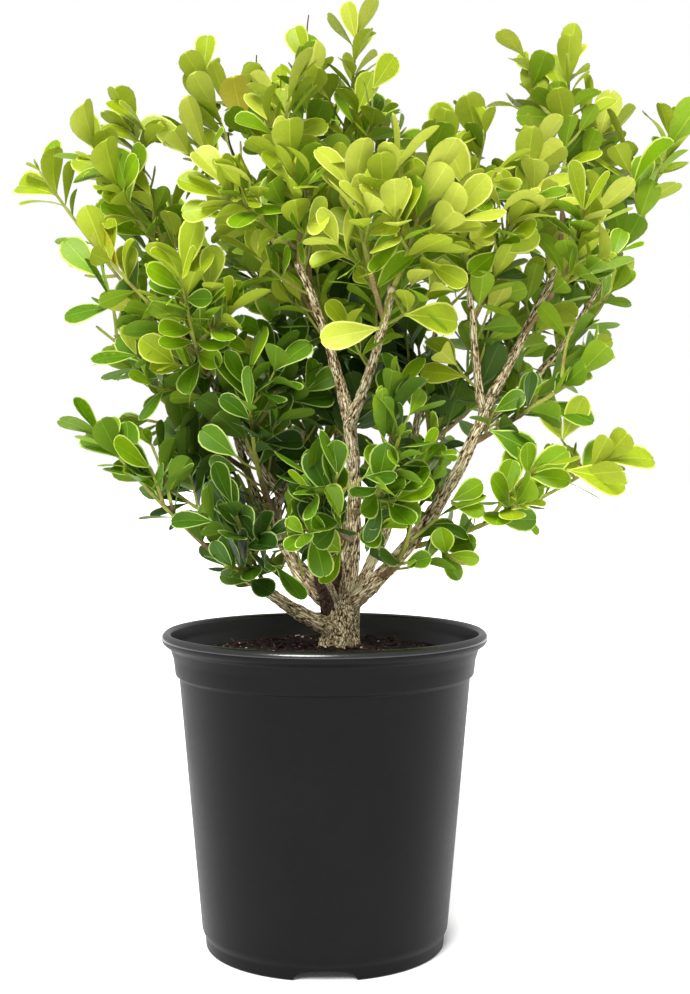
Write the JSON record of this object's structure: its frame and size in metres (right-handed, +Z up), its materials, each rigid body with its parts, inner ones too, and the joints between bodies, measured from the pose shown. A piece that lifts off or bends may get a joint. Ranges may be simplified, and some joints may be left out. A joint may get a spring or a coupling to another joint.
{
  "type": "potted boxwood shrub",
  "caption": "Young unclipped boxwood shrub with upright woody stems and open sprays of small rounded leaves, growing in a round black nursery pot.",
  "frame": {"origin": "centre of the pot's flat underside, on the ground", "axes": "+Z up along the pot's axis; -Y is the front, the side seen in the picture; +X to the right seen from the front"},
  "size_m": [0.3492, 0.256, 0.4812],
  "materials": {
    "black_plastic": "satin black moulded plastic",
    "potting_mix": "damp dark bark and peat mix with pale specks",
    "bark": "rough corky tan bark",
    "dead_wood": "pale dry dead twig",
    "foliage": "glossy small evergreen leaves on green twigs"
  },
  "bodies": {
    "root": {"pot": "black_plastic", "soil": "potting_mix", "trunk": "bark", "bough_centre": "bark", "bough_right": "bark", "bough_left": "bark", "bough_low_left": "bark", "bough_back": "bark", "bough_back_left": "bark", "bough_back_right": "bark", "cut_stub": "dead_wood", "bough_centre_left": "bark", "bough_centre_right": "bark", "bough_right_outer": "bark", "bough_right_inner": "bark", "bough_far_right": "bark", "bough_left_outer": "bark", "bough_left_inner": "bark", "old_stump": "bark", "spray_crest": "foliage", "spray_upper_middle": "foliage", "spray_upper_left": "foliage", "spray_centre_left": "foliage", "spray_left_tall": "foliage", "spray_far_left": "foliage", "spray_left_front": "foliage", "spray_left_middle": "foliage", "spray_low_left": "foliage", "spray_low_left_back": "foliage", "spray_foot_left": "foliage", "spray_heart_left": "foliage", "spray_core_left": "foliage", "spray_heart_low": "foliage", "spray_heart_right": "foliage", "spray_core_middle": "foliage", "spray_centre_front": "foliage", "spray_centre_bright": "foliage", "spray_centre_back": "foliage", "spray_right_inner": "foliage", "spray_right_middle": "foliage", "spray_right_top": "foliage", "spray_right_shoulder": "foliage", "spray_right_front": "foliage", "spray_far_right": "foliage", "spray_right_side": "foliage", "spray_right_low": "foliage", "spray_low_right": "foliage", "spray_heart_back": "foliage", "spray_foot_right": "foliage", "spray_back_high": "foliage", "spray_core_back": "foliage", "spray_inner_back": "foliage", "spray_back_left_high": "foliage", "spray_back_left_low": "foliage", "spray_back_low": "foliage", "spray_back_right_high": "foliage", "spray_back_right_low": "foliage", "spray_back_right_foot": "foliage"}
  },
  "joints": []
}
